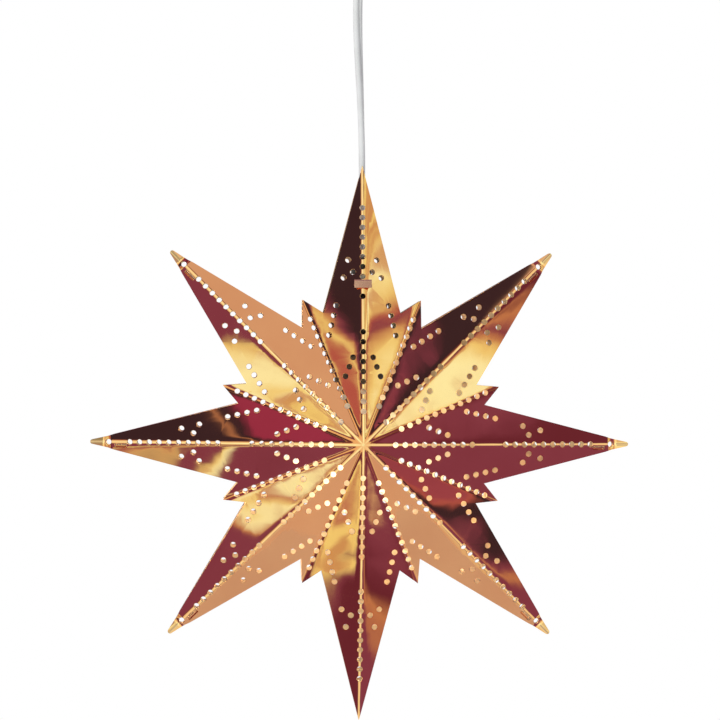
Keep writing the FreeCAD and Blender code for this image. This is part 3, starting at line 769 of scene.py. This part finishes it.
star_sheet("front_sheet", -1, 3.0, "hanging_lamp", "front_star_sheet")
star_sheet("back_sheet", 1, 91.0, "back_half", "back_star_sheet")
BAR_NARROWED = 0.82
BAR_LOWERED = 0.0006
strap = merged_copy("lamp_strap")
strap_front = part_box("lamp_strap")[0][1]
for place in (-0.0100, -0.0112, strap_front + 0.0008):
    cut_across(strap, (0, place, 0), (0, 1, 0))
for vert in strap.verts:
    if vert.co.y < -0.0105:
        vert.co.x *= BAR_NARROWED
    if vert.co.y < strap_front + 0.0007:
        rise = vert.co.z - (HUB.z + STRAP_ABOVE * MM)
        vert.co.z += -BAR_LOWERED + rise * -0.05
soften(strap, 0.18, 2, 40)
piece_from(strap, "strap_with_turned_end", [strap_copper], "hanging_lamp", "lamp_strap")
tongues = merged_copy("joining_tongues")
soften(tongues, 0.1, 1, 40)
piece_from(tongues, "folded_tongues", [bright_copper], "back_half", "joining_tongues")

# ---- Floor, lights and surroundings --------------------------------------------
# A pale floor far under the star and a white background. The copper mirrors a
# plain studio: golden, tan and wine-red cards all round, and a bright one ahead.

FLOOR_RADIUS = 0.62
FLOOR_HEIGHT = -1.22

floor_bm = bmesh.new()
bmesh.ops.create_circle(
    floor_bm, cap_ends=True, radius=FLOOR_RADIUS, segments=96,
    matrix=Matrix.Translation((0, 0, FLOOR_HEIGHT)))
floor_mesh = bpy.data.meshes.new("floor")
floor_bm.to_mesh(floor_mesh)
floor_bm.free()
floor = bpy.data.objects.new("floor", floor_mesh)
bpy.context.collection.objects.link(floor)
pale_floor = finish_of("pale_floor", [(0.80, 0.80, 0.78), (0.84, 0.83, 0.81)], (0.6, 0.75), 0, 6, 60, 0.0002)
floor.data.materials.append(pale_floor)


def soft_lamp(name, place, size, power):
    light = bpy.data.lights.new(name, "AREA")
    light.shape = "RECTANGLE"
    light.size, light.size_y = size
    light.energy = power
    lamp = bpy.data.objects.new(name, light)
    lamp.location = place
    lamp.rotation_mode = "QUATERNION"
    lamp.rotation_quaternion = (HUB - Vector(place)).to_track_quat("-Z", "Y")
    bpy.context.collection.objects.link(lamp)
    lamp.visible_glossy = False


soft_lamp("left_lamp", (-1.1, -1.2, 0.5), (0.9, 0.9), 16)
soft_lamp("back_lamp", (0.8, 1.3, 0.4), (0.8, 0.8), 8)

TAN = (0.74, 0.70, 0.66)
BUFF = (0.82, 0.88, 0.70)
GOLD = (1.00, 1.36, 0.76)
PALE = (1.12, 1.90, 1.75)
AMBER = (0.62, 0.44, 0.32)
RUST = (0.50, 0.20, 0.25)
ROSE = (0.36, 0.12, 0.27)
CRIMSON = (0.35, 0.068, 0.25)
WINE = (0.255, 0.092, 0.25)
DIM_WINE = (0.16, 0.045, 0.12)
BLACK = (0.05, 0.04, 0.08)
GAP = (0.20, 0.085, 0.11)
AHEAD_EDGE = (0.95, 0.90, 0.62)
AHEAD_MIDDLE = (1.15, 1.60, 1.20)
ROOM_LIGHT = (0.52, 0.53, 0.56)
WHITE = (1, 1, 1)
DRIFT = 0.04
QUARTERS = (
    ((0, TAN), (18, TAN), (23, WINE), (37, WINE), (39, DIM_WINE), (50, DIM_WINE), (55, GOLD),
     (60.1, GOLD), (60.6, AMBER), (61.1, GOLD), (61.9, PALE), (62.5, GOLD), (62.9, RUST), (63.4, WINE),
     (63.8, AMBER), (64.3, GOLD), (65.2, PALE), (67, GOLD), (73, AMBER), (78, WINE), (80.8, ROSE),
     (81.3, RUST), (81.7, BLACK), (82.8, BLACK), (83.3, WINE), (83.9, AMBER), (84.7, WINE), (90, WINE)),
    ((90, WINE), (96, DIM_WINE), (99.0, DIM_WINE), (99.5, AMBER), (100.1, WINE), (100.8, AMBER),
     (101.5, GOLD), (103.2, PALE), (104.6, GOLD), (110, AMBER), (117, BUFF), (118.6, BUFF), (119.2, WINE),
     (121.4, DIM_WINE), (122.4, AMBER), (123.1, WINE), (150, WINE), (158, TAN), (169, TAN), (172, BUFF),
     (180, TAN)),
    ((180, BUFF), (184.4, BUFF), (185.4, TAN), (193, TAN), (200, DIM_WINE), (210.6, WINE), (211.1, PALE),
     (211.6, GOLD), (211.9, WINE), (212.9, WINE), (213.2, GOLD), (213.6, RUST), (213.9, WINE),
     (214.3, GOLD), (214.8, WINE), (216, WINE), (222, DIM_WINE), (235.1, DIM_WINE), (235.7, WINE),
     (236.2, GOLD), (237.4, GOLD), (237.9, RUST), (238.4, BUFF), (243, AMBER), (252, AMBER),
     (254.4, GOLD), (254.9, PALE), (255.4, GOLD), (256.4, PALE), (257.4, GOLD), (257.9, WINE),
     (270, WINE)),
    ((270, WINE), (278.7, WINE), (279.2, AMBER), (279.7, PALE), (280.3, GOLD), (280.6, RUST),
     (281.0, PALE), (282.6, GOLD), (289, AMBER), (296, RUST), (298.7, RUST), (299.2, GOLD),
     (299.6, AMBER), (299.9, WINE), (300.4, BLACK), (322, BLACK), (326.2, BLACK), (326.5, AMBER),
     (326.9, BLACK), (327.4, BLACK), (328.0, CRIMSON), (329.6, CRIMSON), (330.3, DIM_WINE),
     (338, DIM_WINE), (346, RUST), (349.6, RUST), (350.4, WINE), (351.4, BLACK), (356, BLACK),
     (360, TAN)),
)


def card_ramp(sky, stops, angle):
    """Tones round a quarter of the studio, by the angle from straight up, clockwise from the front."""
    first = stops[0][0]
    part = sky.nodes.new("ShaderNodeMapRange")
    part.inputs["From Min"].default_value = math.radians(first)
    part.inputs["From Max"].default_value = math.radians(first + 90)
    link(sky, angle, part.inputs["Value"])
    ramp = sky.nodes.new("ShaderNodeValToRGB")
    ramp.color_ramp.interpolation = "EASE"
    marks = ramp.color_ramp.elements
    for _ in stops[2:]:
        marks.new(0.5)
    for i, (turn, _) in enumerate(stops):
        marks[i].position = (turn - first) / 90
    for i, (_, tone) in enumerate(stops):
        marks[i].color = (*tone, 1)
    link(sky, part.outputs["Result"], ramp.inputs["Fac"])
    return ramp.outputs["Color"]


def sky_math(sky, operation, *values):
    node = sky.nodes.new("ShaderNodeMath")
    node.operation = operation
    for socket, value in zip(node.inputs, values):
        if isinstance(value, (int, float)):
            socket.default_value = value
        else:
            link(sky, value, socket)
    return node.outputs["Value"]


def sky_mix(sky, factor, first, second):
    mix = sky.nodes.new("ShaderNodeMix")
    mix.data_type = "RGBA"
    for socket, value in (
            (mix.inputs["Factor"], factor), (mix.inputs["A"], first), (mix.inputs["B"], second)):
        if isinstance(value, tuple):
            socket.default_value = (*value, 1)
        else:
            link(sky, value, socket)
    return mix.outputs["Result"]


def smooth_step(sky, value, low, high):
    step = sky.nodes.new("ShaderNodeMapRange")
    step.interpolation_type = "SMOOTHSTEP"
    step.inputs["From Min"].default_value = low
    step.inputs["From Max"].default_value = high
    link(sky, value, step.inputs["Value"])
    return step.outputs["Result"]


def mirrored_studio(sky):
    """What polished metal mirrors, by direction."""
    look = sky.nodes.new("ShaderNodeTexCoord")
    drift = sky.nodes.new("ShaderNodeTexNoise")
    drift.inputs["Scale"].default_value = 27
    drift.inputs["Detail"].default_value = 2.0
    link(sky, look.outputs["Generated"], drift.inputs["Vector"])
    centred = sky.nodes.new("ShaderNodeVectorMath")
    centred.operation = "SUBTRACT"
    centred.inputs[1].default_value = (0.5, 0.5, 0.5)
    link(sky, drift.outputs["Color"], centred.inputs[0])
    shifted = sky.nodes.new("ShaderNodeVectorMath")
    shifted.operation = "MULTIPLY_ADD"
    shifted.inputs[1].default_value = (DRIFT, DRIFT, DRIFT)
    link(sky, centred.outputs["Vector"], shifted.inputs[0])
    link(sky, look.outputs["Generated"], shifted.inputs[2])
    split = sky.nodes.new("ShaderNodeSeparateXYZ")
    link(sky, shifted.outputs["Vector"], split.inputs["Vector"])
    angle = sky_math(sky, "ARCTAN2", split.outputs["X"], split.outputs["Z"])
    angle = sky_math(sky, "MODULO", sky_math(sky, "ADD", angle, 2 * math.pi), 2 * math.pi)
    around = card_ramp(sky, QUARTERS[0], angle)
    for stops in QUARTERS[1:]:
        past = sky_math(sky, "GREATER_THAN", angle, math.radians(stops[0][0]))
        around = sky_mix(sky, past, around, card_ramp(sky, stops, angle))
    parts = sky.nodes.new("ShaderNodeSeparateColor")
    link(sky, around, parts.inputs["Color"])
    folds = sky.nodes.new("ShaderNodeTexNoise")
    folds.inputs["Scale"].default_value = 19
    folds.inputs["Detail"].default_value = 1.0
    folds.inputs["Distortion"].default_value = 1.6
    link(sky, shifted.outputs["Vector"], folds.inputs["Vector"])
    bright = smooth_step(sky, parts.outputs["Green"], 0.9, 1.4)
    streak = smooth_step(sky, folds.outputs["Fac"], 0.50, 0.62)
    fold_mask = sky_math(sky, "MULTIPLY", bright, streak)
    around = sky_mix(sky, sky_math(sky, "MULTIPLY", fold_mask, 0.8), around, AMBER)
    toward = sky_math(sky, "MULTIPLY", split.outputs["Y"], -1)
    gap = sky_mix(sky, smooth_step(sky, toward, 0.645, 0.66), around, GAP)
    ahead = sky_mix(sky, smooth_step(sky, toward, 0.78, 0.90), AHEAD_EDGE, AHEAD_MIDDLE)
    ahead = sky_mix(sky, sky_math(sky, "MULTIPLY", smooth_step(sky, toward, 0.92, 0.95), 0.7), ahead, around)
    return sky_mix(sky, smooth_step(sky, toward, 0.672, 0.70), gap, ahead)


world = bpy.data.worlds.new("studio")
bpy.context.scene.world = world
world.use_nodes = True
sky = world.node_tree
sky.nodes.clear()
path = sky.nodes.new("ShaderNodeLightPath")
lit = sky_mix(sky, path.outputs["Is Glossy Ray"], ROOM_LIGHT, mirrored_studio(sky))
straight = sky_math(sky, "MAXIMUM", path.outputs["Is Camera Ray"], path.outputs["Is Transmission Ray"])
seen = sky_mix(sky, straight, lit, WHITE)
background = sky.nodes.new("ShaderNodeBackground")
link(sky, seen, background.inputs["Color"])
out = sky.nodes.new("ShaderNodeOutputWorld")
link(sky, background.outputs["Background"], out.inputs["Surface"])

bpy.context.scene.view_settings.view_transform = "Standard"
